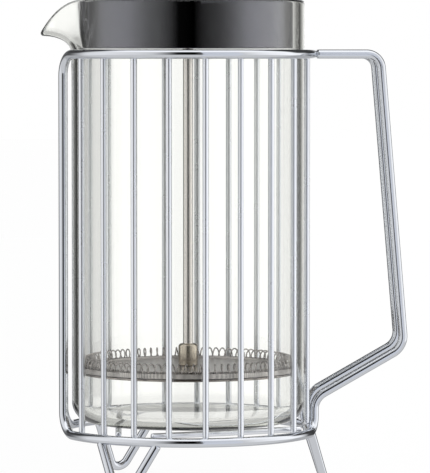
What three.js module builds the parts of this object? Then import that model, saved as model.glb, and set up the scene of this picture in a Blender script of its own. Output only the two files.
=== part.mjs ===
// A one litre cafetiere: a glass beaker standing in a cage of chromed wire on three hairpin legs,
// with a sleeved lid and a plunger that carries a sprung mesh filter.
// Millimetres, +Z up. The origin is on the table, on the beaker's axis. The handle points along +X
// and the spout along -X. The front of the cage faces -Y.
import * as THREE from 'three';

// ---------------------------------------------------------------- driving dimensions

const fitGap = 0.3;                   // air between pieces that touch
const hoopStep = 8;                   // degrees between a hoop's facets
const ringCrowding = 0.45;            // how closely the beaker's facets crowd at its spout

const beakerRadius = 48.4;            // outside of the glass
const beakerHeight = 174.9;
const glassWall = 2.4;
const glassFloor = 3.0;
const heelRadius = 8.0;               // rounding between the glass wall and its floor
const spoutReach = 12.7;              // how far the lip stands out of the wall
const spoutDrop = 12.4;               // how far the lip dips below the rim
const spoutHalfAngle = 26;            // degrees either side of the spout
const spoutDepth = 20.6;              // height of glass that is drawn out into the spout
const spoutCurl = 1.6;                // above 1 the glass curls outwards towards the lip

const heavyWire = 3.8;                // hoops, posts, handle and legs
const lightWire = 2.5;                // upright cage wires and the rests under the beaker
const beakerPlay = 0.95;              // air around the beaker inside the cage
const cageWireInset = 2.3;            // upright cage wires inside the hoops, centre to centre
const lowerHoopHeight = 22.9;         // centre of the wire above the table
const upperHoopHeight = 179.2;
const cageWiresPerSide = 9;
const cageWireSpacing = {             // degrees from the handle, and from one wire to the next
  front: { first: 16.6, step: 16.84 },
  back: { first: 18, step: 16.36 },
};
const spoutPostAngle = 165.2;         // degrees from the handle to the heavy post beside the spout
const postBend = 9.0;                 // bend radii of the heavy wire, at its centre line
const riserBend = 7.0;
const kneeBend = 8.0;
const gripFootBend = 8.0;
const gripHeadBend = 6.0;

const handleWireSpacing = 26.0;       // centre to centre of the handle's two wires
const kneeHeight = 36.9;              // where the handle leaves the cage
const gripFootReach = 88.9;           // lower corner of the grip, from the axis
const gripFootHeight = 58.2;
const gripHeadReach = 78.8;           // upper corner of the grip, from the axis

const legTipBend = 4.5;
const legSplay = 17;                  // degrees outwards from upright
const legLean = 26;                   // degrees that each limb leans away from its twin
const handleLegRise = 2.6;            // the handle's leg reaches up to the bent risers
const legAngles = { handle: 0, front: -120, back: 120 };

const restLift = 2.1;                 // beaker rest centres above the lower hoop's centre
const restGaps = {                    // which gaps between uprights each rest's ends lie in,
  front: [-1, -6],                    // counted from the handle, with the front ones below zero
  back: [1, 6],
  spout: [7, -7],
};

const skirtPlay = 2.4;                // air between the lid's skirt and the glass
const skirtDrop = 19.95;              // how far the lid's skirt hangs below the rim
const sheet = 0.8;                    // pressed steel of the lid
const flangeOverhang = 2.0;           // lid flange beyond the glass
const domeRise = 13.0;
const domeEdge = 4.0;                 // upright edge of the dome
const guideRadius = 6.5;
const guideCollar = 3.5;              // guide standing above the dome

const rodRadius = 2.1;
const knobRadius = 16.0;
const knobHeight = 27.0;
const knobFoot = 7.5;                 // radius of the knob's flat underside
const nutRadius = 4.05;
const nutHeight = 9.2;
const nutShoulder = 1.2;

const filterHeight = 46.7;            // underside of the filter above the table, at rest
const filterClearance = 0.4;          // filter mesh to glass
const crossPlateThickness = 1.0;
const crossPlateInset = 1.2;          // cross plate edge inside the mesh edge
const meshThickness = 0.4;
const meshRim = 2.0;                  // turned-up edge of the mesh
const springPlateThickness = 0.8;
const springPlateFlange = 0.9;
const coilRadius = 2.3;               // centre line of the spring's turns
const coilWire = 0.7;
const coilTurns = 90;
const crossPlateHoles = 8;
const crossPlateHoleRadius = 6.0;
const knobLift = 15.3;                // knob's foot above the guide, at rest

// ---------------------------------------------------------------- helpers

const radians = THREE.MathUtils.degToRad;
const point2 = (x, y) => new THREE.Vector2(x, y);

// The fractions 0, 1/pieces and so on, up to 1.
const fractions = (pieces) => Array.from({ length: pieces + 1 }, (_, index) => index / pieces);

// ---------------------------------------------------------------- worked-out sizes

const heavyRadius = heavyWire / 2;
const lightRadius = lightWire / 2;
const cageWireCircle = beakerRadius + beakerPlay + lightRadius;
const hoopRadius = cageWireCircle + cageWireInset;
const restHeight = lowerHoopHeight + restLift;
const legTop = lowerHoopHeight - heavyRadius * (1 + Math.sin(radians(legLean))) - fitGap;
const beakerBase = restHeight + lightRadius + fitGap;
const rimHeight = beakerBase + beakerHeight;
const boreRadius = beakerRadius - glassWall;
const skirtRadius = boreRadius - skirtPlay;

const meshRadius = boreRadius - filterClearance;
const boreOnRod = rodRadius + fitGap;
const crossPlateTop = filterHeight + crossPlateThickness;
const meshBase = crossPlateTop + fitGap;
const springPlateBase = meshBase + meshThickness + fitGap;
const springPlateTop = springPlateBase + springPlateThickness;
const coilEnvelope = coilRadius + coilWire / 2;
const coilCircle = meshRadius - meshThickness - fitGap - coilEnvelope;
const coilHeight = meshBase + meshThickness + fitGap + coilEnvelope;
const nutBase = springPlateTop + fitGap;

const flangeBase = rimHeight + fitGap;
const domeBase = flangeBase + sheet + fitGap;
const flangeRadius = beakerRadius + flangeOverhang;
const domeTop = domeBase + domeEdge + domeRise;
const guideTop = domeTop + guideCollar;
const knobBase = guideTop + knobLift;

// ---------------------------------------------------------------- materials

const steel = { metalness: 1.0, roughness: 0.08 };
const finishes = {
  chrome: { color: 0xc9ced4, ...steel },
  glass: { color: 0xe6f0ec, metalness: 0.0, roughness: 0.02, transparent: true, opacity: 0.25 },
  darkChrome: { color: 0x585a62, ...steel },
  nickel: { color: 0xb4ab98, metalness: 1.0, roughness: 0.2 },
  mesh: { color: 0xa8a29c, metalness: 1.0, roughness: 0.35 },
  knob: { color: 0x111214, metalness: 0.0, roughness: 0.12 },
};

const cafetiere = new THREE.Group();

function add(name, geometry, finish, parent = cafetiere) {
  const piece = new THREE.Mesh(geometry, new THREE.MeshStandardMaterial(finishes[finish]));
  piece.name = name;
  parent.add(piece);
  return piece;
}

// ---------------------------------------------------------------- wire work

// A path through stations that stay exactly where they are put, so that straight runs cost one
// step and bends get as many as they need.
class WirePath extends THREE.Curve {
  constructor(stations) {
    super();
    this.stations = stations;
  }

  getPoint(t, target = new THREE.Vector3()) {
    const place = Math.min(Math.max(t, 0), 1) * (this.stations.length - 1);
    const index = Math.min(Math.floor(place), this.stations.length - 2);
    return target.lerpVectors(this.stations[index], this.stations[index + 1], place - index);
  }

  getUtoTmapping(u) {
    return u;
  }
}

function wireAlong(stations, radius, sides = 10) {
  const turns = fractions(sides).slice(1).map((part) => part * 2 * Math.PI);
  const corners = turns.map((turn) => point2(radius * Math.cos(turn), radius * Math.sin(turn)));
  const section = new THREE.Shape(corners);
  return new THREE.ExtrudeGeometry(section, {
    steps: stations.length - 1,
    bevelEnabled: false,
    extrudePath: new WirePath(stations),
  });
}

// The stations of one bend: an arc that is tangent to the runs before and after the corner.
function bend(before, corner, after, radius, pieces = 6) {
  const back = before.clone().sub(corner).normalize();
  const ahead = after.clone().sub(corner).normalize();
  const halfAngle = back.angleTo(ahead) / 2;
  const inward = back.clone().add(ahead).normalize();
  const centre = corner.clone().addScaledVector(inward, radius / Math.sin(halfAngle));
  const spoke = corner.clone().addScaledVector(back, radius / Math.tan(halfAngle)).sub(centre);
  const axis = back.clone().cross(spoke).normalize();
  const turn = Math.PI - 2 * halfAngle;
  return fractions(pieces).map((part) => spoke.clone().applyAxisAngle(axis, turn * part).add(centre));
}

function onCylinder(radius, angle, height) {
  return new THREE.Vector3(radius * Math.cos(angle), radius * Math.sin(angle), height);
}

// Where a hoop wire leaves its circle for a bend: the point on the circle, and the corner that the
// bend rounds, one bend radius further along the tangent.
function hoopExit(angle, height, bendRadius, heading) {
  const tangent = onCylinder(1, angle + (heading * Math.PI) / 2, 0);
  const from = onCylinder(hoopRadius, angle, height);
  return { angle, from, corner: from.clone().addScaledVector(tangent, bendRadius) };
}

// Stations of a hoop between two angles, both left out.
function hoopArc(startAngle, endAngle, height) {
  const pieces = Math.ceil(Math.abs(endAngle - startAngle) / radians(hoopStep));
  return fractions(pieces).slice(1, -1).map((part) =>
    onCylinder(hoopRadius, startAngle + (endAngle - startAngle) * part, height));
}

// The angle from the handle at which the lower hoop starts to bend up into a riser.
const riserExit = Math.asin(handleWireSpacing / 2 / Math.hypot(hoopRadius, riserBend))
  + Math.atan2(riserBend, hoopRadius);

// One heavy wire makes half of the frame without a joint: half the upper hoop, the post beside the
// spout, half the lower hoop, and one side of the handle back up to the upper hoop.
function frameWire(side) {
  const up = new THREE.Vector3(0, 0, 1);
  const postAngle = side * (radians(spoutPostAngle) - Math.atan2(postBend, hoopRadius));
  const riserAngle = side * riserExit;
  const buttAngle = side * Math.asin(fitGap / 2 / hoopRadius);
  const postHead = hoopExit(postAngle, upperHoopHeight, postBend, side);
  const postFoot = hoopExit(postAngle, lowerHoopHeight, postBend, side);
  const riser = hoopExit(riserAngle, lowerHoopHeight, riserBend, -side);

  const wireY = riser.corner.y;
  const knee = riser.corner.clone().setZ(kneeHeight);
  const gripFoot = new THREE.Vector3(gripFootReach, wireY, gripFootHeight);
  const gripHead = new THREE.Vector3(gripHeadReach, wireY, upperHoopHeight);
  const innerEdge = Math.abs(wireY) - heavyRadius;
  const seatX = Math.sqrt((hoopRadius + heavyRadius) ** 2 - innerEdge ** 2) + fitGap;
  const seat = new THREE.Vector3(seatX, wireY, upperHoopHeight);
  return [
    onCylinder(hoopRadius, buttAngle, upperHoopHeight),
    ...hoopArc(buttAngle, postAngle, upperHoopHeight),
    ...bend(postHead.from, postHead.corner, postFoot.corner, postBend),
    ...bend(postHead.corner, postFoot.corner, postFoot.from, postBend),
    ...hoopArc(postAngle, riserAngle, lowerHoopHeight),
    ...bend(riser.from, riser.corner, riser.corner.clone().add(up), riserBend),
    ...bend(riser.corner, knee, gripFoot, kneeBend),
    ...bend(knee, gripFoot, gripHead, gripFootBend),
    ...bend(gripFoot, gripHead, seat, gripHeadBend),
    seat,
  ];
}

add('frame_wire_front', wireAlong(frameWire(-1), heavyRadius), 'chrome');
add('frame_wire_back', wireAlong(frameWire(1), heavyRadius), 'chrome');

// Upright wires end on the inner shoulder of both hoops. A wire that lands on the bend into a
// riser ends higher, where the wire below it has risen and tilted.
function uprightWire(angle) {
  const shoulder = Math.sqrt((heavyRadius + fitGap) ** 2 - (cageWireInset - lightRadius) ** 2);
  const intoBend = Math.max(hoopRadius * Math.sin(riserExit - angle), 0);
  const tilt = Math.asin(Math.min(intoBend / riserBend, 1));
  const foot = lowerHoopHeight + riserBend * (1 - Math.cos(tilt)) + shoulder / Math.cos(tilt);
  const length = upperHoopHeight - shoulder - foot;
  const shape = new THREE.CylinderGeometry(lightRadius, lightRadius, length, 10);
  shape.rotateX(Math.PI / 2);
  return { shape, middle: foot + length / 2 };
}

const cageAngle = (sideName, index) =>
  radians(cageWireSpacing[sideName].first + index * cageWireSpacing[sideName].step);

const sides = { front: -1, back: 1 };
for (const [name, side] of Object.entries(sides)) {
  for (let index = 0; index < cageWiresPerSide; index += 1) {
    const angle = cageAngle(name, index);
    const { shape, middle } = uprightWire(angle);
    const wire = add(`upright_wire_${name}_${index + 1}`, shape, 'chrome');
    wire.position.copy(onCylinder(cageWireCircle, side * angle, middle));
  }
}

// A hairpin leg hangs in its own plane, splayed outwards. Its limbs end under the lower hoop, and
// on the handle's side they reach further up, to where the two risers leave the hoop.
function legStations(angle, topHeight) {
  const splay = radians(legSplay);
  const lean = radians(legLean);
  const bendCentre = (topHeight - heavyRadius) / Math.cos(splay) - legTipBend;
  const apex = bendCentre + legTipBend / Math.sin(lean);
  const halfWidth = apex * Math.tan(lean);
  const topReach = Math.sqrt(hoopRadius ** 2 - halfWidth ** 2);
  const outwards = topReach + (topHeight - legTop) * -Math.tan(splay);
  const place = (across, down) => new THREE.Vector3(
    outwards + down * Math.sin(splay),
    across,
    topHeight - down * Math.cos(splay),
  ).applyAxisAngle(new THREE.Vector3(0, 0, 1), angle);
  const corners = [place(-halfWidth, 0), place(0, apex), place(halfWidth, 0)];
  return [corners[0], ...bend(...corners, legTipBend, 10), corners[2]];
}

for (const [name, degrees] of Object.entries(legAngles)) {
  const topHeight = name === 'handle' ? legTop + handleLegRise : legTop;
  add(`leg_${name}`, wireAlong(legStations(radians(degrees), topHeight), heavyRadius), 'chrome');
}

// Straight rests cross under the beaker. Each end sits on the lower hoop's inner shoulder, half way
// between two uprights.
const restAngle = (gap) => Math.sign(gap) * cageAngle(gap < 0 ? 'front' : 'back', Math.abs(gap) - 0.5);

for (const [name, gaps] of Object.entries(restGaps)) {
  const ends = gaps.map(restAngle);
  const spread = Math.min(Math.abs(ends[0] - ends[1]), 2 * Math.PI - Math.abs(ends[0] - ends[1]));
  const endReach = lightRadius * Math.hypot(Math.cos(spread / 2), 1) / Math.SQRT2;
  const seatInset = Math.sqrt((heavyRadius + fitGap + endReach) ** 2 - restLift ** 2);
  const stations = ends.map((angle) => onCylinder(hoopRadius - seatInset, angle, restHeight));
  add(`beaker_rest_${name}`, wireAlong(stations, lightRadius), 'chrome');
}

// ---------------------------------------------------------------- beaker

// Points of an arc in a profile, from one angle to another, without its first point.
function arcPoints(centreX, centreY, radius, startDegrees, endDegrees, pieces) {
  return fractions(pieces).slice(1).map((part) => {
    const angle = radians(startDegrees + (endDegrees - startDegrees) * part);
    return point2(centreX + radius * Math.cos(angle), centreY + radius * Math.sin(angle));
  });
}

function revolve(profile, segments = 48) {
  const geometry = new THREE.LatheGeometry(profile, segments);
  geometry.rotateX(Math.PI / 2);
  return geometry;
}

// The middle of the glass at a height from 0, where the spout starts, to 1, at the rim. The lip is
// drawn outwards and down, most at the spout's own angle.
function spoutSurface(angle, height) {
  const off = Math.min(Math.abs(angle) / radians(spoutHalfAngle), 1);
  const drawn = Math.cos((off * Math.PI) / 2) ** 2;
  const curl = Math.max(height, 0) ** spoutCurl;
  const radius = beakerRadius - glassWall / 2 + spoutReach * drawn * curl;
  const level = rimHeight - glassWall / 2 - spoutDepth * (1 - height) - spoutDrop * drawn ** 2 * curl;
  return onCylinder(radius, Math.PI + angle, level);
}

// The glass skin either side of that surface, and the round bead where the two sides meet.
function spoutSkin(angle, height, beadTurn) {
  const step = 0.002;
  const here = spoutSurface(angle, height);
  const around = spoutSurface(angle + step, height).sub(spoutSurface(angle - step, height));
  const upwards = spoutSurface(angle, height + step).sub(spoutSurface(angle, height - step)).normalize();
  const outwards = around.cross(upwards).normalize();
  return here
    .addScaledVector(outwards, (glassWall / 2) * Math.cos(beadTurn))
    .addScaledVector(upwards, (glassWall / 2) * Math.sin(beadTurn));
}

function beakerGeometry() {
  const segments = 56;
  const rows = 8;
  const beadPieces = 4;
  const spoutStart = rimHeight - glassWall / 2 - spoutDepth;
  const innerHeel = heelRadius - glassWall;
  const levels = fractions(rows).slice(1);
  const outerFoot = [
    point2(0, beakerBase),
    point2(beakerRadius - heelRadius, beakerBase),
    ...arcPoints(beakerRadius - heelRadius, beakerBase + heelRadius, heelRadius, -90, 0, 5),
    point2(beakerRadius, spoutStart),
  ];
  const innerFoot = [
    point2(boreRadius, spoutStart),
    point2(boreRadius, beakerBase + glassFloor + innerHeel),
    ...arcPoints(boreRadius - innerHeel, beakerBase + glassFloor + innerHeel, innerHeel, 0, -90, 4),
    point2(0, beakerBase + glassFloor),
  ];
  const skin = [
    ...levels.map((height) => ({ height, beadTurn: 0 })),
    ...fractions(beadPieces).slice(1, -1).map((part) => ({ height: 1, beadTurn: part * Math.PI })),
    ...levels.toReversed().map((height) => ({ height, beadTurn: Math.PI })),
  ];
  const profile = [...outerFoot, ...skin.map(() => point2(1, 1)), ...innerFoot];
  const geometry = new THREE.LatheGeometry(profile, segments);
  const position = geometry.attributes.position;
  for (let index = 0; index < position.count; index += 1) {
    const ring = Math.floor(index / profile.length) % segments;
    const row = index % profile.length;
    const turn = (ring / segments) * 2 * Math.PI;
    const angle = turn + ringCrowding * Math.sin(turn);
    const onSkin = skin[row - outerFoot.length];
    const point = onSkin
      ? spoutSkin(angle - Math.PI, onSkin.height, onSkin.beadTurn)
      : onCylinder(profile[row].x, angle, profile[row].y);
    position.setXYZ(index, point.x, point.y, point.z);
  }
  geometry.computeVertexNormals();
  return geometry;
}

add('beaker', beakerGeometry(), 'glass');

// ---------------------------------------------------------------- lid

// Sleeve that centres the lid in the beaker, with a flange that rests on the rim.
add('lid_skirt', revolve([
  point2(skirtRadius - sheet, rimHeight - skirtDrop),
  point2(skirtRadius, rimHeight - skirtDrop),
  point2(skirtRadius, flangeBase),
  point2(flangeRadius, flangeBase),
  point2(flangeRadius, flangeBase + sheet),
  point2(skirtRadius - sheet, flangeBase + sheet),
  point2(skirtRadius - sheet, rimHeight - skirtDrop),
]), 'darkChrome');

// Pressed dome: an upright edge, then an elliptical crown with a hole for the guide.
function domeGeometry() {
  const pieces = 8;
  const holeRadius = guideRadius + fitGap;
  const crown = (edgeRadius, rise) => {
    const start = Math.asin(holeRadius / edgeRadius);
    return fractions(pieces).map((part) => {
      const angle = start + (Math.PI / 2 - start) * part;
      return point2(edgeRadius * Math.sin(angle), domeBase + domeEdge + rise * Math.cos(angle));
    });
  };
  const outer = crown(flangeRadius, domeRise).reverse();
  const inner = crown(flangeRadius - sheet, domeRise - sheet);
  return revolve([
    point2(flangeRadius - sheet, domeBase),
    point2(flangeRadius, domeBase),
    ...outer,
    ...inner,
    point2(flangeRadius - sheet, domeBase),
  ]);
}

add('lid_dome', domeGeometry(), 'darkChrome');

// The guide is a flanged bush: the collar sits on the dome, the neck goes through its hole.
const collarBase = domeTop + fitGap;
const neckBase = domeTop - domeRise / 2;

add('lid_guide', revolve([
  point2(boreOnRod, neckBase),
  point2(guideRadius, neckBase),
  point2(guideRadius, collarBase),
  point2(guideRadius + 2 * sheet, collarBase),
  point2(guideRadius + 2 * sheet, guideTop - sheet),
  point2(guideRadius + sheet, guideTop),
  point2(boreOnRod, guideTop),
  point2(boreOnRod, neckBase),
], 32), 'darkChrome');

// ---------------------------------------------------------------- plunger

// Knob: a flat foot, a waisted neck and a ball flattened on top.
function knobGeometry() {
  const pieces = 12;
  const ballHeight = knobHeight - knobFoot / 2;
  const ballCentre = knobBase + knobHeight - ballHeight / 2;
  const neckAngle = Math.asin(knobFoot / knobRadius) - Math.PI / 2;
  const ball = fractions(pieces).map((part) => {
    const angle = neckAngle + (Math.PI / 2 - neckAngle) * part;
    return point2(knobRadius * Math.cos(angle), ballCentre + (ballHeight / 2) * Math.sin(angle));
  });
  ball[pieces].x = 0;
  const socketTop = knobBase + knobHeight / 2;
  return revolve([
    point2(0, socketTop),
    point2(boreOnRod, socketTop),
    point2(boreOnRod, knobBase),
    point2(knobFoot, knobBase),
    ...ball,
  ], 32);
}

add('plunger_knob', knobGeometry(), 'knob');

const rodTop = knobBase + knobHeight / 2 - fitGap;
const rodLength = rodTop - filterHeight;
const rod = new THREE.CylinderGeometry(rodRadius, rodRadius, rodLength, 20);
rod.rotateX(Math.PI / 2);
add('plunger_rod', rod, 'nickel').position.z = filterHeight + rodLength / 2;

add('hub_nut', revolve([
  point2(boreOnRod, nutBase),
  point2(nutRadius, nutBase),
  point2(nutRadius, nutBase + nutHeight - nutShoulder),
  ...arcPoints(nutRadius - nutShoulder, nutBase + nutHeight - nutShoulder, nutShoulder, 0, 90, 3),
  point2(boreOnRod, nutBase + nutHeight),
  point2(boreOnRod, nutBase),
], 24), 'nickel');

// The plate that spreads the spring, with a low flange around its edge.
const springPlateRadius = coilCircle - coilEnvelope - fitGap;

add('spring_plate', revolve([
  point2(boreOnRod, springPlateBase),
  point2(springPlateRadius, springPlateBase),
  point2(springPlateRadius, springPlateTop + springPlateFlange),
  point2(springPlateRadius - springPlateThickness, springPlateTop + springPlateFlange),
  point2(springPlateRadius - springPlateThickness, springPlateTop),
  point2(boreOnRod, springPlateTop),
  point2(boreOnRod, springPlateBase),
]), 'nickel');

// A long spring bent into a ring presses the mesh against the glass. Its ends stop half a turn
// apart.
function coilStations() {
  const facetsPerTurn = 6;
  const turnsMade = coilTurns - 0.5;
  return fractions(turnsMade * facetsPerTurn).map((part) => {
    const turn = part * turnsMade * 2 * Math.PI;
    const around = turn / coilTurns;
    return onCylinder(
      coilCircle + coilRadius * Math.cos(turn),
      around,
      coilHeight + coilRadius * Math.sin(turn),
    );
  });
}

add('filter_spring', wireAlong(coilStations(), coilWire / 2, 3), 'mesh');

add('filter_mesh', revolve([
  point2(boreOnRod, meshBase),
  point2(meshRadius, meshBase),
  point2(meshRadius, meshBase + meshRim),
  point2(meshRadius - meshThickness, meshBase + meshRim),
  point2(meshRadius - meshThickness, meshBase + meshThickness),
  point2(boreOnRod, meshBase + meshThickness),
  point2(boreOnRod, meshBase),
], 60), 'mesh');

function circle(x, y, radius, facets) {
  return fractions(facets).slice(1).map((part) => point2(
    x + radius * Math.cos(part * 2 * Math.PI),
    y + radius * Math.sin(part * 2 * Math.PI),
  ));
}

// The cross plate backs the mesh from below and lets the coffee through a ring of holes.
function crossPlateGeometry() {
  const radius = meshRadius - crossPlateInset;
  const plate = new THREE.Shape(circle(0, 0, radius, 48));
  plate.holes.push(new THREE.Path(circle(0, 0, boreOnRod, 16)));
  const holeCircle = (radius + boreOnRod) / 2;
  for (let index = 0; index < crossPlateHoles; index += 1) {
    const angle = (index / crossPlateHoles) * 2 * Math.PI;
    const middle = onCylinder(holeCircle, angle, 0);
    plate.holes.push(new THREE.Path(circle(middle.x, middle.y, crossPlateHoleRadius, 16)));
  }
  return new THREE.ExtrudeGeometry(plate, { depth: crossPlateThickness, bevelEnabled: false });
}

add('cross_plate', crossPlateGeometry(), 'nickel').position.z = filterHeight;

export default cafetiere;
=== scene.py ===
"""Looks of a one litre french press: glass beaker, chromed wire cage, sleeved lid and plunger.

Sizes are in millimetres. Z is up, the handle is towards +X, the spout towards -X, and the photo
looks from -Y. Angles go round the beaker's axis from the handle. "Front" is the photo's side.
"""

import math

import bpy
from mathutils import Matrix, Vector


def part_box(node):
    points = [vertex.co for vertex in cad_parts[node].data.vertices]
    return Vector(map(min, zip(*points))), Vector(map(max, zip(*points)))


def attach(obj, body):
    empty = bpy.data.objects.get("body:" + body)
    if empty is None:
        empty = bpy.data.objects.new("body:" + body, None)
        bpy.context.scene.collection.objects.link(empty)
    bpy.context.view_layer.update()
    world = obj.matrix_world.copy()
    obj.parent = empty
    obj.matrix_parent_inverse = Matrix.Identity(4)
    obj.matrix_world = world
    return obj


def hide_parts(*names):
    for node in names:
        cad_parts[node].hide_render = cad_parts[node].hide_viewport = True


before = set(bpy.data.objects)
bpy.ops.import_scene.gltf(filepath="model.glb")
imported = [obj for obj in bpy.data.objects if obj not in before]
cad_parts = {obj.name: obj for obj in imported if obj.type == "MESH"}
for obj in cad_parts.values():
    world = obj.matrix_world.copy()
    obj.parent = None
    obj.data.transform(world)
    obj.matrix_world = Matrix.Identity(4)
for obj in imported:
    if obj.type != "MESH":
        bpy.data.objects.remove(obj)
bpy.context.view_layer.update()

MM = 0.001


def box_mm(node):
    """The low and the high corner of a CAD node's box."""
    return [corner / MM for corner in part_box(node)]


# ---------------------------------------------------------------- sizes of the wire frame

HEAVY_R = 1.9
LIGHT_R = 1.25
HOOP_R = 52.9
LOWER_HOOP_Z = 22.9
UPPER_HOOP_Z = 179.2
HOOP_STEP = math.radians(2)

POST_ANGLE = math.radians(165.2)
POST_BEND = 9.0
RISER_BEND = 7.0
KNEE_BEND = 8.0
GRIP_FOOT_BEND = 8.0
GRIP_HEAD_BEND = 6.0
HANDLE_SPACING = 26.0
KNEE_Z = 36.9
GRIP_FOOT_X = 88.9
GRIP_FOOT_Z = 58.2
GRIP_HEAD_X = 78.8
RISER_EXIT = (math.asin(HANDLE_SPACING / 2 / math.hypot(HOOP_R, RISER_BEND))
              + math.atan2(RISER_BEND, HOOP_R))
BUTT_GAP = 0.05  # half the gap where the two loops' ends meet on the upper hoop
SEAT_REACH = HEAVY_R * 0.6  # from the hoop's centre line to the end of the handle's top wire

UPRIGHTS_PER_SIDE = 9
UPRIGHT_OVERRUN = 1.0  # how much further each end goes into its hoop than in the CAD
UPRIGHT_ANGLES = {-1: (16.6, 16.84), 1: (18.0, 16.36)}  # first one and step, in degrees, by side

LEG_TIP_BEND = 4.5
LEG_SPLAY = math.radians(17)
LEG_LEAN = math.radians(26)
LEG_HEAD = 2.4  # how far each leg wire runs on above its place under the hoop
LEG_GAP = 0.3
LEG_TOP_Z = LOWER_HOOP_Z - HEAVY_R * (1 + math.sin(LEG_LEAN)) - LEG_GAP
LEGS = (("handle", 0, 2.6), ("front", -120, 0), ("back", 120, 0))  # name, degrees, raised by

REST_R = 50.4
REST_Z = LOWER_HOOP_Z + 2.1
# Each end is in a gap between uprights, counted from the handle. The front's count is negative.
RESTS = (("front", (-1, -6)), ("back", (1, 6)), ("spout", (7, -7)))

# ---------------------------------------------------------------- sizes of the beaker

beaker_low, beaker_high = box_mm("beaker")
BASE_Z = beaker_low.z
RIM_Z = beaker_high.z
BEAKER_R = 48.4
GLASS_WALL = 2.4
GLASS_FLOOR = 3.0
HEEL_R = 8.0
BEAKER_SEGMENTS = 224

SPOUT_REACH = 12.7
SPOUT_DROP = 12.4  # how far the lip bends down below where the rim would be
SPOUT_DEPTH = 20.6  # how far below the rim the glass starts to be drawn out
SPOUT_HALF_ANGLE = math.radians(26)
SPOUT_CURL = 1.6
SPOUT_FOOT_Z = RIM_Z - GLASS_WALL / 2 - SPOUT_DEPTH
SPOUT_ROWS = 28
BEAD_PIECES = 12

# ---------------------------------------------------------------- sizes of the lid and plunger

skirt_low, skirt_high = box_mm("lid_skirt")
dome_low, dome_high = box_mm("lid_dome")
guide_low, guide_high = box_mm("lid_guide")
SHEET = 0.8
SKIRT_R = 43.6
FLANGE_R = 50.4
DOME_EDGE = 4.0
DOME_HOLE_R = 6.8
GUIDE_R = 6.5
GUIDE_FLANGE_R = 8.1
GUIDE_FLANGE_Z = dome_high.z + 0.05  # just clear of the dome
GUIDE_BORE_R = 2.4

knob_low, knob_high = box_mm("plunger_knob")
KNOB_R = knob_high.x
KNOB_FOOT_R = 7.5
KNOB_FOOT_EDGE = 0.4
KNOB_BORE_R = 2.3
KNOB_BORE_DEPTH = 3.0

rod_low, rod_high = box_mm("plunger_rod")
ROD_R = 2.1

nut_low, nut_high = box_mm("hub_nut")
NUT_R = 4.05
NUT_BORE_R = 2.2
NUT_EDGE = 0.3
NUT_SHOULDER = 1.4

FILTER_BORE_R = 2.5
FILTER_EDGE = 0.3
MESH_SHEET = 0.3

spring_low, spring_high = box_mm("filter_spring")
COIL_R = 2.3
COIL_WIRE_R = 0.3
COIL_TURNS = 92
COIL_TURN_PIECES = 14
COIL_Z = (spring_low.z + spring_high.z) / 2
COIL_CIRCLE_R = spring_high.x - COIL_R - 0.35  # the CAD's wire has a radius of 0.35


# ---------------------------------------------------------------- node helpers

# A Mix node's color sockets, by number, because they share their names with its plain ones.
COLOR_A, COLOR_B, COLOR_RESULT = 6, 7, 2


def new_material(name):
    """A material, its node tree and its shader."""
    material = bpy.data.materials.new(name)
    material.use_nodes = True
    tree = material.node_tree
    return material, tree, tree.nodes["Principled BSDF"]


def feed(tree, socket, value):
    """Link a socket to another node's output, or set it to a plain value."""
    if isinstance(value, bpy.types.NodeSocket):
        tree.links.new(value, socket)
    else:
        socket.default_value = value


def math_node(tree, operation, *values):
    node = tree.nodes.new("ShaderNodeMath")
    node.operation = operation
    for socket, value in zip(node.inputs, values):
        feed(tree, socket, value)
    return node.outputs[0]


def map_range(tree, value, source=(0.0, 1.0), target=(0.0, 1.0), smooth=False):
    node = tree.nodes.new("ShaderNodeMapRange")
    if smooth:
        node.interpolation_type = "SMOOTHSTEP"
    feed(tree, node.inputs["Value"], value)
    for name, limit in zip(("From Min", "From Max", "To Min", "To Max"), (*source, *target)):
        node.inputs[name].default_value = limit
    return node.outputs["Result"]


def mix_values(tree, share, first, second):
    mix = tree.nodes.new("ShaderNodeMix")
    for name, value in (("Factor", share), ("A", first), ("B", second)):
        feed(tree, mix.inputs[name], value)
    return mix.outputs["Result"]


def mix_colors(tree, share, first, second):
    mix = tree.nodes.new("ShaderNodeMix")
    mix.data_type = "RGBA"
    feed(tree, mix.inputs["Factor"], share)
    mix.inputs[COLOR_A].default_value = (*first, 1)
    mix.inputs[COLOR_B].default_value = (*second, 1)
    return mix.outputs[COLOR_RESULT]


def mix_shaders(tree, share, first, second):
    """Make the surface a mix of two shaders."""
    mix = tree.nodes.new("ShaderNodeMixShader")
    tree.links.new(share, mix.inputs["Fac"])
    tree.links.new(first, mix.inputs[1])
    tree.links.new(second, mix.inputs[2])
    tree.links.new(mix.outputs["Shader"], tree.nodes["Material Output"].inputs["Surface"])


def object_noise(tree, scale, detail):
    place = tree.nodes.new("ShaderNodeTexCoord")
    noise = tree.nodes.new("ShaderNodeTexNoise")
    noise.inputs["Scale"].default_value = scale
    noise.inputs["Detail"].default_value = detail
    tree.links.new(place.outputs["Object"], noise.inputs["Vector"])
    return noise.outputs["Fac"]


def add_bump(tree, shader, height, strength, distance):
    bump = tree.nodes.new("ShaderNodeBump")
    bump.inputs["Strength"].default_value = strength
    bump.inputs["Distance"].default_value = distance
    tree.links.new(height, bump.inputs["Height"])
    tree.links.new(bump.outputs["Normal"], shader.inputs["Normal"])


def add_polish(tree, shader, roughness, spread):
    """Roughness that varies a little over the surface."""
    noise = object_noise(tree, 90.0, 3.0)
    polish = map_range(tree, noise, target=(roughness - spread, roughness + spread))
    tree.links.new(polish, shader.inputs["Roughness"])


# ---------------------------------------------------------------- materials

def metal(name, color, roughness, spread):
    """Bright metal."""
    material, tree, shader = new_material(name)
    shader.inputs["Base Color"].default_value = (*color, 1)
    shader.inputs["Metallic"].default_value = 1.0
    add_polish(tree, shader, roughness, spread)
    return material


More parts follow.
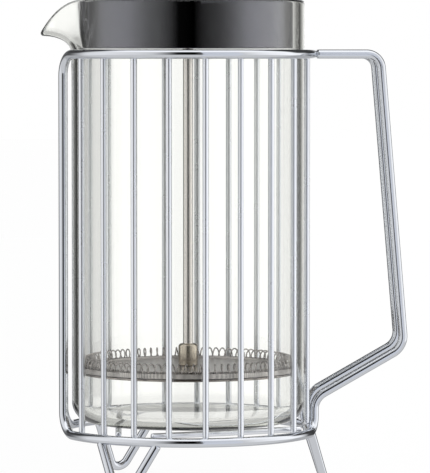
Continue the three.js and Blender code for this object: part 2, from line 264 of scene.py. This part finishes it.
def black_chrome(name, front, flank, roughness, spread):
    """Near black polished metal that reflects more strongly as it turns away."""
    material, tree, shader = new_material(name)
    shader.inputs["Metallic"].default_value = 1.0
    add_polish(tree, shader, roughness, spread)
    weight = tree.nodes.new("ShaderNodeLayerWeight")
    turned = map_range(tree, weight.outputs["Facing"], source=(0.03, 0.20), smooth=True)
    tree.links.new(mix_colors(tree, turned, front, flank), shader.inputs["Base Color"])
    return material


def woven(name, color, pitch, roughness):
    """Fine woven wire: bright crests and dark holes, in all three directions. The holes' darkness
    is painted shade between the wires.
    """
    material, tree, shader = new_material(name)
    shader.inputs["Metallic"].default_value = 1.0
    shader.inputs["Roughness"].default_value = roughness
    place = tree.nodes.new("ShaderNodeTexCoord")
    total = 0.0
    for direction in "XYZ":
        wave = tree.nodes.new("ShaderNodeTexWave")
        wave.bands_direction = direction
        wave.inputs["Scale"].default_value = math.pi / (10 * pitch * MM)
        tree.links.new(place.outputs["Object"], wave.inputs["Vector"])
        total = math_node(tree, "ADD", total, wave.outputs["Fac"])
    crest = map_range(tree, total, source=(0.6, 2.4))
    # Painted shade: the holes between the wires get the metal's colour darkened to 0.35 of itself.
    hole = tuple(level * 0.35 for level in color)
    tree.links.new(mix_colors(tree, crest, hole, color), shader.inputs["Base Color"])
    add_bump(tree, shader, crest, 0.5, pitch * MM / 3)
    return material


def glass(name):
    """Clear glass, faintly olive in its depth, that casts almost no shadow."""
    material, tree, shader = new_material(name)
    shader.inputs["Base Color"].default_value = (1, 1, 1, 1)
    shader.inputs["Roughness"].default_value = 0.0
    shader.inputs["IOR"].default_value = 1.47
    shader.inputs["Transmission Weight"].default_value = 1.0
    absorb = tree.nodes.new("ShaderNodeVolumeAbsorption")
    absorb.inputs["Color"].default_value = (0.70, 0.75, 0.46, 1)
    absorb.inputs["Density"].default_value = 23.0
    tree.links.new(absorb.outputs["Volume"], tree.nodes["Material Output"].inputs["Volume"])
    path = tree.nodes.new("ShaderNodeLightPath")
    clear = tree.nodes.new("ShaderNodeBsdfTransparent")
    mix_shaders(tree, path.outputs["Is Shadow Ray"], shader.outputs["BSDF"], clear.outputs["BSDF"])
    return material


def black_plastic(name):
    material, tree, shader = new_material(name)
    shader.inputs["Base Color"].default_value = (0.012, 0.012, 0.013, 1)
    shader.inputs["Roughness"].default_value = 0.12
    shader.inputs["Coat Weight"].default_value = 0.3
    add_bump(tree, shader, object_noise(tree, 400.0, 2.0), 0.02, 0.0002)
    return material


CHROME = metal("chromed_wire", (0.66, 0.68, 0.72), 0.08, 0.02)
FINE_CHROME = metal("chromed_fine_wire", (0.84, 0.86, 0.90), 0.28, 0.03)
LID_CHROME = metal("lid_chrome", (0.50, 0.50, 0.53), 0.05, 0.02)
SLEEVE_BLACK = black_chrome(
    "lid_sleeve_black", (0.021, 0.022, 0.028), (0.118, 0.118, 0.142), 0.04, 0.012)
ROD_STEEL = metal("rod_steel", (0.80, 0.765, 0.735), 0.14, 0.04)
NUT_NICKEL = metal("nut_nickel", (0.62, 0.56, 0.47), 0.15, 0.05)
FILTER_STEEL = metal("filter_steel", (0.55, 0.52, 0.50), 0.35, 0.06)
PLATE_STEEL = metal("plate_steel", (0.30, 0.27, 0.25), 0.25, 0.05)
MESH_STEEL = woven("filter_weave", (0.95, 0.90, 0.87), 0.5, 0.5)
SPRING_STEEL = metal("spring_steel", (0.50, 0.47, 0.45), 0.22, 0.05)
GLASS = glass("beaker_glass")
BLACK = black_plastic("knob_plastic")


# ---------------------------------------------------------------- mesh and curve helpers

END_ROUNDING = 0.6  # share of a wire's radius that its cut end's rounded edge takes up
SUPPORT = 0.05  # how far beyond a bend a point on the run holds the surface straight
RUN_SHARE = 0.45  # most of a run that one rounded corner of a profile may take up
SHARP_FROM = math.radians(35)


def place_piece(piece, material, body, node):
    piece.data.materials.append(material)
    bpy.context.scene.collection.objects.link(piece)
    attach(piece, body)
    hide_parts(node)


def fractions(pieces):
    return [index / pieces for index in range(pieces + 1)]


def on_cylinder(radius, angle, z):
    return Vector((radius * math.cos(angle), radius * math.sin(angle), z))


def rounded_end(tip, next_place, radius):
    """Points and radius shares of a wire's cut end: its rounded edge, then a support point."""
    inwards = (next_place - tip).normalized() * radius * END_ROUNDING
    points = []
    for degrees in (0, 18, 36, 54, 72, 90):
        turn = math.radians(degrees)
        share = 1 - END_ROUNDING + END_ROUNDING * math.sin(turn)
        points.append((tip + inwards * (1 - math.cos(turn)), share))
    return [*points, (tip + inwards * 1.1, 1.0)]


def wire_object(name, stations, radius, resolution=8):
    """A round wire with rounded ends along a list of stations."""
    data = bpy.data.curves.new(name, "CURVE")
    data.dimensions = "3D"
    data.bevel_depth = radius * MM
    data.bevel_resolution = resolution
    data.use_fill_caps = True
    data.twist_mode = "MINIMUM"
    start = rounded_end(stations[0], stations[1], radius)
    end = rounded_end(stations[-1], stations[-2], radius)
    points = [*start, *[(place, 1.0) for place in stations[1:-1]], *reversed(end)]
    line = data.splines.new("POLY")
    line.points.add(len(points) - 1)
    for point, (place, share) in zip(line.points, points):
        point.co = (*(place * MM), 1)
        point.radius = share
    line.use_smooth = True
    return bpy.data.objects.new(name, data)


def bend(before, corner, after, radius, pieces=20):
    """Stations of an arc tangent to the runs before and after the corner, and a support point
    on each run."""
    back = (before - corner).normalized()
    ahead = (after - corner).normalized()
    half = back.angle(ahead) / 2
    centre = corner + (back + ahead).normalized() * (radius / math.sin(half))
    tangent = radius / math.tan(half)
    spoke = corner + back * tangent - centre
    axis = back.cross(spoke)
    turn = math.pi - 2 * half
    return [
        corner + back * (tangent + SUPPORT),
        *[centre + Matrix.Rotation(turn * part, 3, axis) @ spoke for part in fractions(pieces)],
        corner + ahead * (tangent + SUPPORT),
    ]


def arc(centre_r, centre_z, radius, start, end, pieces):
    """Profile points of an arc, in degrees, without its first point."""
    points = []
    for part in fractions(pieces)[1:]:
        angle = math.radians(start + (end - start) * part)
        points.append((centre_r + radius * math.cos(angle), centre_z + radius * math.sin(angle)))
    return points


def rounded(points, radius):
    """A closed profile of straight runs with its corners rounded."""
    corners = [Vector((*point, 0)) for point in points]
    result = []
    for before, corner, after in zip(corners[-1:] + corners, corners, corners[1:] + corners[:1]):
        back = before - corner
        ahead = after - corner
        reach = min(back.length, ahead.length) * RUN_SHARE
        fit = min(radius, reach * math.tan(back.angle(ahead) / 2))
        result += [(point.x, point.y) for point in bend(before, corner, after, fit, 4)]
    return result + result[:1]


def ring(radius, z, segments):
    """Points once round the axis."""
    return [on_cylinder(radius, 2 * math.pi * index / segments, z) for index in range(segments)]


def skinned(name, rows):
    """A smooth skin over rows of points that each go once round the axis. A row that lies on the
    axis becomes one vertex."""
    segments = len(rows[0])
    vertices = []
    rings = []
    for points in rows:
        first = len(vertices)
        if (points[0] - points[1]).length < 1e-9:
            rings.append([first] * segments)
            vertices.append(points[0] * MM)
        else:
            rings.append(range(first, first + segments))
            vertices += [point * MM for point in points]
    faces = []
    for low, high in zip(rings, rings[1:]):
        for index in range(segments):
            after = (index + 1) % segments
            face = list(dict.fromkeys((low[index], low[after], high[after], high[index])))
            if len(face) > 2:
                faces.append(face)
    mesh = bpy.data.meshes.new(name)
    mesh.from_pydata(vertices, [], faces)
    mesh.update()
    for polygon in mesh.polygons:
        polygon.use_smooth = True
    return bpy.data.objects.new(name, mesh)


def revolved(name, profile, segments=128):
    """A ring or a solid turned from a profile of (radius, height) points."""
    piece = skinned(name, [ring(radius, z, segments) for radius, z in profile])
    piece.data.set_sharp_from_angle(angle=SHARP_FROM)
    return piece


# ---------------------------------------------------------------- wire frame

def hoop_arc(start, end, z):
    """Stations on a hoop between two angles, without the first and the last."""
    pieces = max(round(abs(end - start) / HOOP_STEP), 2)
    return [on_cylinder(HOOP_R, start + (end - start) * part, z)
            for part in fractions(pieces)[1:-1]]


def hoop_exit(angle, z, radius, heading):
    """Where a wire leaves a hoop, and the corner of the bend by which it leaves."""
    start = on_cylinder(HOOP_R, angle, z)
    return start, start + on_cylinder(1, angle + heading * math.pi / 2, 0) * radius


def frame_wire(side):
    """Half the upper hoop, a post, half the lower hoop and one side of the handle."""
    butt = side * BUTT_GAP / HOOP_R
    post = side * (POST_ANGLE - math.atan2(POST_BEND, HOOP_R))
    riser = side * RISER_EXIT
    hoop_head, post_head = hoop_exit(post, UPPER_HOOP_Z, POST_BEND, side)
    hoop_foot, post_foot = hoop_exit(post, LOWER_HOOP_Z, POST_BEND, side)
    riser_from, riser_corner = hoop_exit(riser, LOWER_HOOP_Z, RISER_BEND, -side)
    y = riser_corner.y
    knee = Vector((riser_corner.x, y, KNEE_Z))
    grip_foot = Vector((GRIP_FOOT_X, y, GRIP_FOOT_Z))
    grip_head = Vector((GRIP_HEAD_X, y, UPPER_HOOP_Z))
    seat = Vector((math.sqrt(HOOP_R ** 2 - y ** 2) + SEAT_REACH, y, UPPER_HOOP_Z))
    return [
        on_cylinder(HOOP_R, butt, UPPER_HOOP_Z),
        *hoop_arc(butt, post, UPPER_HOOP_Z),
        *bend(hoop_head, post_head, post_foot, POST_BEND),
        *bend(post_head, post_foot, hoop_foot, POST_BEND),
        *hoop_arc(post, riser, LOWER_HOOP_Z),
        *bend(riser_from, riser_corner, knee, RISER_BEND),
        *bend(riser_corner, knee, grip_foot, KNEE_BEND),
        *bend(knee, grip_foot, grip_head, GRIP_FOOT_BEND),
        *bend(grip_foot, grip_head, seat, GRIP_HEAD_BEND),
        seat,
    ]


def upright_wire(node):
    low, high = box_mm(node)
    middle = (low + high) / 2
    return [Vector((middle.x, middle.y, low.z - UPRIGHT_OVERRUN)),
            Vector((middle.x, middle.y, high.z + UPRIGHT_OVERRUN))]


def leg_wire(angle, top_z):
    """A hairpin that splays outwards from under the lower hoop and stands on its bend."""
    bend_centre = (top_z - HEAVY_R) / math.cos(LEG_SPLAY) - LEG_TIP_BEND
    apex = bend_centre + LEG_TIP_BEND / math.sin(LEG_LEAN)
    half_width = apex * math.tan(LEG_LEAN)
    outwards = math.sqrt(HOOP_R ** 2 - half_width ** 2) - (top_z - LEG_TOP_Z) * math.tan(LEG_SPLAY)
    turn = Matrix.Rotation(angle, 3, "Z")

    def place(across, down):
        out = outwards + down * math.sin(LEG_SPLAY)
        return turn @ Vector((out, across, top_z - down * math.cos(LEG_SPLAY)))

    left, tip, right = place(-half_width, 0), place(0, apex), place(half_width, 0)
    return [
        left + (left - tip).normalized() * LEG_HEAD,
        *bend(left, tip, right, LEG_TIP_BEND, 32),
        right + (right - tip).normalized() * LEG_HEAD,
    ]


def gap_station(gap):
    """A place on the lower hoop midway between two neighbouring uprights."""
    first, step = UPRIGHT_ANGLES[-1 if gap < 0 else 1]
    angle = math.copysign(first + (abs(gap) - 0.5) * step, gap)
    return on_cylinder(REST_R, math.radians(angle), REST_Z)


for side, name in ((-1, "front"), (1, "back")):
    wire = wire_object(f"cage_loop_{name}", frame_wire(side), HEAVY_R, 10)
    place_piece(wire, CHROME, "frame", f"frame_wire_{name}")
    for number in range(1, UPRIGHTS_PER_SIDE + 1):
        node = f"upright_wire_{name}_{number}"
        wire = wire_object(f"upright_{name}_{number}", upright_wire(node), LIGHT_R)
        place_piece(wire, FINE_CHROME, "frame", node)

for name, degrees, raised in LEGS:
    stations = leg_wire(math.radians(degrees), LEG_TOP_Z + raised)
    wire = wire_object(f"hairpin_{name}", stations, HEAVY_R, 10)
    place_piece(wire, CHROME, "frame", f"leg_{name}")

for name, gaps in RESTS:
    wire = wire_object(f"rest_{name}", [gap_station(gap) for gap in gaps], LIGHT_R)
    place_piece(wire, FINE_CHROME, "frame", f"beaker_rest_{name}")


# ---------------------------------------------------------------- beaker

def spout_surface(angle, height):
    """Middle of the glass above the spout's foot, which is at height 0. The rim is at height 1."""
    off = min(abs(angle) / SPOUT_HALF_ANGLE, 1)
    drawn = math.cos(off * math.pi / 2) ** 2
    curl = max(height, 0) ** SPOUT_CURL
    radius = BEAKER_R - GLASS_WALL / 2 + SPOUT_REACH * drawn * curl
    level = SPOUT_FOOT_Z + SPOUT_DEPTH * height - SPOUT_DROP * drawn ** 2 * curl
    return on_cylinder(radius, math.pi + angle, level)


def spout_skin(angle, height, bead_turn):
    """Surface of the glass, half a wall from its middle: outside, over the rim's bead or inside."""
    step = 0.002
    around = spout_surface(angle + step, height) - spout_surface(angle - step, height)
    rise = spout_surface(angle, height + step) - spout_surface(angle, height - step)
    upwards = rise.normalized()
    outwards = around.cross(upwards).normalized()
    normal = outwards * math.cos(bead_turn) + upwards * math.sin(bead_turn)
    return spout_surface(angle, height) + normal * GLASS_WALL / 2


def beaker_profiles():
    """The outside from the axis up to the spout's foot, and the inside from there to the axis."""
    inner_r = BEAKER_R - GLASS_WALL
    inner_heel_r = HEEL_R - GLASS_WALL
    base_r = BEAKER_R - HEEL_R
    heel_z = BASE_Z + HEEL_R
    floor_z = BASE_Z + GLASS_FLOOR
    inner_heel_z = floor_z + inner_heel_r
    outer = [
        (0, BASE_Z + 0.8),
        (base_r - 6, BASE_Z + 0.5),
        (base_r - 2, BASE_Z + 0.1),
        (base_r, BASE_Z),
        *arc(base_r, heel_z, HEEL_R, -90, 0, 24),
        *[(BEAKER_R, heel_z + (SPOUT_FOOT_Z - heel_z) * part) for part in fractions(6)[1:]],
    ]
    inner = [
        *[(inner_r, SPOUT_FOOT_Z + (inner_heel_z - SPOUT_FOOT_Z) * part)
          for part in fractions(6)],
        *arc(inner_r - inner_heel_r, inner_heel_z, inner_heel_r, 0, -90, 20),
        (0, floor_z),
    ]
    return outer, inner


def beaker_rows():
    """Rows of points up the outside, over the rim and the spout, and down the inside."""
    outer, inner = beaker_profiles()
    levels = fractions(SPOUT_ROWS)[1:]
    skin = [(level, 0) for level in levels]
    skin += [(1, part * math.pi) for part in fractions(BEAD_PIECES)[1:-1]]
    skin += [(level, math.pi) for level in reversed(levels)]
    angles = [2 * math.pi * index / BEAKER_SEGMENTS - math.pi for index in range(BEAKER_SEGMENTS)]
    return [
        *[ring(radius, z, BEAKER_SEGMENTS) for radius, z in outer],
        *[[spout_skin(angle, level, turn) for angle in angles] for level, turn in skin],
        *[ring(radius, z, BEAKER_SEGMENTS) for radius, z in inner],
    ]


place_piece(skinned("beaker_glass", beaker_rows()), GLASS, "beaker", "beaker")


# ---------------------------------------------------------------- lid

def dome_profile():
    """A pressed sheet: a straight edge under a low arch, with a hole for the guide."""
    rise = dome_high.z - dome_low.z - DOME_EDGE
    sides = []
    for edge, height in ((FLANGE_R, rise), (FLANGE_R - SHEET, rise - SHEET)):
        start = math.asin(DOME_HOLE_R / edge)
        angles = [start + (math.pi / 2 - start) * part for part in fractions(36)]
        sides.append([(edge * math.sin(angle), dome_low.z + DOME_EDGE + height * math.cos(angle))
                      for angle in angles])
    outside, inside = sides
    outline = [(FLANGE_R - SHEET, dome_low.z), (FLANGE_R, dome_low.z), *reversed(outside), *inside]
    return outline + outline[:1]


skirt = revolved("lid_sleeve", rounded([
    (SKIRT_R - SHEET, skirt_low.z),
    (SKIRT_R, skirt_low.z),
    (SKIRT_R, skirt_high.z - SHEET),
    (FLANGE_R, skirt_high.z - SHEET),
    (FLANGE_R, skirt_high.z),
    (SKIRT_R - SHEET, skirt_high.z),
], 0.35))
place_piece(skirt, SLEEVE_BLACK, "lid", "lid_skirt")

place_piece(revolved("lid_crown", dome_profile()), LID_CHROME, "lid", "lid_dome")

guide = revolved("lid_bush", rounded([
    (GUIDE_BORE_R, guide_low.z),
    (GUIDE_R, guide_low.z),
    (GUIDE_R, GUIDE_FLANGE_Z),
    (GUIDE_FLANGE_R, GUIDE_FLANGE_Z),
    (GUIDE_FLANGE_R, guide_high.z),
    (GUIDE_BORE_R, guide_high.z),
], 0.8), 64)
place_piece(guide, LID_CHROME, "lid", "lid_guide")


# ---------------------------------------------------------------- plunger

def knob_profile():
    """A flattened ball on a short foot, open below where the rod goes in."""
    half_height = (knob_high.z - knob_low.z - KNOB_FOOT_R / 2) / 2
    centre_z = knob_high.z - half_height
    start = math.asin(KNOB_FOOT_R / KNOB_R) - math.pi / 2
    points = [
        (KNOB_BORE_R, knob_low.z + KNOB_BORE_DEPTH),
        (KNOB_BORE_R, knob_low.z),
        (KNOB_FOOT_R - KNOB_FOOT_EDGE, knob_low.z),
        (KNOB_FOOT_R, knob_low.z + KNOB_FOOT_EDGE),
    ]
    for part in fractions(40)[:-1]:
        angle = start + (math.pi / 2 - start) * part
        points.append((KNOB_R * math.cos(angle), centre_z + half_height * math.sin(angle)))
    return [*points, (0, knob_high.z)]


def cup_profile(low, high, sheet):
    """A round plate of the given sheet, turned up round its edge, with a bore in the middle."""
    return rounded([
        (FILTER_BORE_R, low.z),
        (high.x, low.z),
        (high.x, high.z),
        (high.x - sheet, high.z),
        (high.x - sheet, low.z + sheet),
        (FILTER_BORE_R, low.z + sheet),
    ], FILTER_EDGE)


def coil_stations():
    """Once round the filter's rim. The last half turn is left out, so that the ends don't meet."""
    stations = []
    for part in fractions(COIL_TURNS * COIL_TURN_PIECES):
        turn = part * COIL_TURNS * 2 * math.pi
        stations.append(on_cylinder(COIL_CIRCLE_R + COIL_R * math.cos(turn), part * 2 * math.pi,
                                    COIL_Z + COIL_R * math.sin(turn)))
    return stations[:-COIL_TURN_PIECES // 2]


place_piece(revolved("knob", knob_profile(), 96), BLACK, "plunger", "plunger_knob")

rod = wire_object("rod", [Vector((0, 0, rod_low.z)), Vector((0, 0, rod_high.z))], ROD_R, 12)
place_piece(rod, ROD_STEEL, "plunger", "plunger_rod")

nut = revolved("nut", [
    (NUT_BORE_R, nut_low.z),
    (NUT_R - NUT_EDGE, nut_low.z),
    (NUT_R, nut_low.z + NUT_EDGE),
    (NUT_R, nut_high.z - NUT_SHOULDER),
    *arc(NUT_R - NUT_SHOULDER, nut_high.z - NUT_SHOULDER, NUT_SHOULDER, 0, 90, 8),
    (NUT_BORE_R, nut_high.z),
    (NUT_BORE_R, nut_low.z),
], 64)
place_piece(nut, NUT_NICKEL, "plunger", "hub_nut")

screen = revolved("screen", cup_profile(*box_mm("filter_mesh"), MESH_SHEET))
place_piece(screen, MESH_STEEL, "plunger", "filter_mesh")

plate = revolved("spiral_plate", cup_profile(*box_mm("spring_plate"), SHEET))
place_piece(plate, FILTER_STEEL, "plunger", "spring_plate")

cross_low, cross_high = box_mm("cross_plate")
cross = revolved("bottom_plate", rounded([
    (FILTER_BORE_R, cross_low.z),
    (cross_high.x, cross_low.z),
    (cross_high.x, cross_high.z),
    (FILTER_BORE_R, cross_high.z),
], FILTER_EDGE))
place_piece(cross, PLATE_STEEL, "plunger", "cross_plate")

spring = wire_object("rim_spring", coil_stations(), COIL_WIRE_R, 2)
place_piece(spring, SPRING_STEEL, "plunger", "filter_spring")


# ---------------------------------------------------------------- studio

FLOOR_HALF = 6000.0
FLOOR_SELF_LIT = 0.93  # share of its own white that the camera sees, the rest is shaded

CARD_X = (80.0, 450.0)
CARD_Y = -450.0
CARDS = (("card_low", -250.0, 182.0), ("card_high", 207.0, 750.0))  # name, lowest and highest Z
CARD_COLOR = (0.90, 0.93, 1.0)
CARD_STRENGTH = 0.92

CAMERA_DISTANCE = 1471.0
CAMERA_TURN = math.radians(2.0)
CAMERA_TILT = math.radians(2.95)
CAMERA_AIM = 11.2  # how far to the right of the axis it looks
CAMERA_LENS = 269.4
CAMERA_SENSOR = 36.0
CAMERA_REACH = 20000.0

# Brightness by azimuth, in degrees from the gap between the two front lights, left to right.
GAP_AZIMUTH = math.radians(-3)
REFLECTED = (
    (-180, 0.90), (-160, 0.70), (-156, 0.12), (-151, 0.05), (-141, 0.06), (-138, 0.40),
    (-133, 0.14), (-126, 0.10), (-119, 0.24), (-108, 0.66), (-98, 1.00), (-80, 1.08),
    (-45, 0.94), (-30, 0.80), (-20, 0.45), (-13, 0.17), (-9, 0.02), (7, 0.0), (12, 0.09),
    (20, 0.25), (31, 0.42), (47, 0.78), (62, 1.05), (80, 1.25), (104, 1.40), (116, 1.25),
    (126, 0.60), (132, 0.10), (149, 0.03), (155, 0.27), (162, 0.60), (166, 1.08))
SEEN_THROUGH = (
    (-180, 1.12), (-176, 1.10), (-174.5, 0.74), (-168, 0.70), (-162, 0.90), (-152, 1.0),
    (0, 1.0), (146, 1.0), (148.5, 0.02), (164.5, 0.02), (167, 0.40), (169.5, 0.90),
    (174, 1.0), (177, 1.1), (180, 1.12))

# Parts of the studio that take over from those levels, and their brightness. Each pair says
# where a part begins and where it is complete in a direction of length 1: along Y for BEHIND,
# and along Z for the others.
CEILING, CEILING_LEVEL = (0.70, 0.86), 1.4
GROUND, GROUND_LEVEL = (-0.24, -0.34), 0.80
BEHIND = (0.25, 0.45)
HIGH, HIGH_BEHIND_LEVEL = (0.15, 0.35), 0.06
LOW, LOW_BEHIND_LEVEL = (-0.15, -0.35), 0.55
STEEP, STEEP_LEVEL = (0.12, 0.2), 1.0


def level_ramp(tree, value, stops):
    """Brightness by azimuth, from (degrees, level) stops between -180 and 180."""
    ramp = tree.nodes.new("ShaderNodeValToRGB")
    tree.links.new(value, ramp.inputs["Fac"])
    elements = ramp.color_ramp.elements
    elements.remove(elements[1])
    for index, (degrees, level) in enumerate(stops):
        position = (degrees + 180) / 360
        element = elements[0] if index == 0 else elements.new(position)
        element.position = position
        element.color = (level, level, level, 1)
    return ramp.outputs["Color"]


def floor_material():
    """White to the eye, with a faint sheen and the object's soft shadow."""
    material, tree, shader = new_material("floor_white")
    shader.inputs["Base Color"].default_value = (0.9, 0.9, 0.9, 1)
    shader.inputs["Roughness"].default_value = 0.06
    glow = tree.nodes.new("ShaderNodeEmission")
    glow.inputs["Strength"].default_value = 1.0
    path = tree.nodes.new("ShaderNodeLightPath")
    share = math_node(tree, "MULTIPLY", path.outputs["Is Camera Ray"], FLOOR_SELF_LIT)
    mix_shaders(tree, share, shader.outputs["BSDF"], glow.outputs["Emission"])
    return material


def card_material():
    material, tree, _ = new_material("fill_card")
    glow = tree.nodes.new("ShaderNodeEmission")
    glow.inputs["Color"].default_value = (*CARD_COLOR, 1)
    glow.inputs["Strength"].default_value = CARD_STRENGTH
    tree.links.new(glow.outputs["Emission"], tree.nodes["Material Output"].inputs["Surface"])
    return material


def stage_plane(name, corners, material):
    mesh = bpy.data.meshes.new(name)
    mesh.from_pydata([Vector(corner) * MM for corner in corners], [], [(0, 1, 2, 3)])
    mesh.materials.append(material)
    plane = bpy.data.objects.new(name, mesh)
    bpy.context.scene.collection.objects.link(plane)
    return plane


def make_floor():
    """Metal and glass see the studio's own pale ground in the world instead, so they see it
    evenly."""
    half = FLOOR_HALF
    corners = [(-half, -half, 0), (half, -half, 0), (half, half, 0), (-half, half, 0)]
    floor = stage_plane("floor", corners, floor_material())
    floor.visible_glossy = False
    floor.visible_transmission = False


def make_fill_cards():
    """Two pale cards in front, to the right, that only metal and glass see reflected."""
    material = card_material()
    left, right = CARD_X
    for name, low, high in CARDS:
        corners = [(left, CARD_Y, low), (left, CARD_Y, high),
                   (right, CARD_Y, high), (right, CARD_Y, low)]
        card = stage_plane(name, corners, material)
        card.visible_camera = False
        card.visible_diffuse = False
        card.visible_transmission = False
        card.visible_shadow = False


def make_world():
    """A white studio. Metal sees the dark gap between two front lights and a dark flag on each
    side. Glass is lit from behind, with a narrow dark flag beside the white background."""
    world = bpy.data.worlds.new("studio")
    bpy.context.scene.world = world
    world.use_nodes = True
    tree = world.node_tree
    place = tree.nodes.new("ShaderNodeTexCoord")
    turn = tree.nodes.new("ShaderNodeVectorRotate")
    turn.rotation_type = "Z_AXIS"
    turn.inputs["Angle"].default_value = -GAP_AZIMUTH
    tree.links.new(place.outputs["Generated"], turn.inputs["Vector"])
    split = tree.nodes.new("ShaderNodeSeparateXYZ")
    tree.links.new(turn.outputs["Vector"], split.inputs["Vector"])
    across, away, height = (split.outputs[name] for name in "XYZ")
    toward = math_node(tree, "MULTIPLY", away, -1.0)
    azimuth = math_node(tree, "ARCTAN2", across, toward)
    turned = math_node(tree, "MULTIPLY_ADD", azimuth, 0.5 / math.pi, 0.5)

    def takes_over(value, limits):
        return map_range(tree, value, source=limits, smooth=True)

    behind = takes_over(away, BEHIND)
    high_behind = math_node(tree, "MULTIPLY", behind, takes_over(height, HIGH))
    low_behind = math_node(tree, "MULTIPLY", behind, takes_over(height, LOW))
    reflected = level_ramp(tree, turned, REFLECTED)
    reflected = mix_values(tree, takes_over(height, CEILING), reflected, CEILING_LEVEL)
    reflected = mix_values(tree, takes_over(height, GROUND), reflected, GROUND_LEVEL)
    reflected = mix_values(tree, high_behind, reflected, HIGH_BEHIND_LEVEL)
    reflected = mix_values(tree, low_behind, reflected, LOW_BEHIND_LEVEL)

    steepness = math_node(tree, "ABSOLUTE", height)
    through = level_ramp(tree, turned, SEEN_THROUGH)
    through = mix_values(tree, takes_over(steepness, STEEP), through, STEEP_LEVEL)

    path = tree.nodes.new("ShaderNodeLightPath")
    glossy = math_node(tree, "GREATER_THAN", path.outputs["Glossy Depth"], 0.5)
    metal_or_glass = mix_values(tree, glossy, through, reflected)
    plain = math_node(
        tree, "MAXIMUM", path.outputs["Is Camera Ray"], path.outputs["Is Diffuse Ray"])
    level = mix_values(tree, plain, metal_or_glass, 1.0)
    tree.links.new(level, tree.nodes["Background"].inputs["Color"])


def make_camera():
    """Level with the upper hoop, a little round towards the spout, looking slightly down."""
    data = bpy.data.cameras.new("camera")
    data.lens = CAMERA_LENS
    data.sensor_width = CAMERA_SENSOR
    data.clip_end = CAMERA_REACH * MM
    camera = bpy.data.objects.new("camera", data)
    bpy.context.scene.collection.objects.link(camera)
    camera.location = Vector((
        -CAMERA_DISTANCE * math.sin(CAMERA_TURN),
        -CAMERA_DISTANCE * math.cos(CAMERA_TURN),
        UPPER_HOOP_Z,
    )) * MM
    pan = math.atan2(CAMERA_AIM, CAMERA_DISTANCE)
    camera.rotation_euler = (math.pi / 2 - CAMERA_TILT, 0, -CAMERA_TURN - pan)
    bpy.context.scene.camera = camera


make_camera()
make_floor()
make_fill_cards()
make_world()
bpy.context.scene.view_settings.view_transform = "Standard"
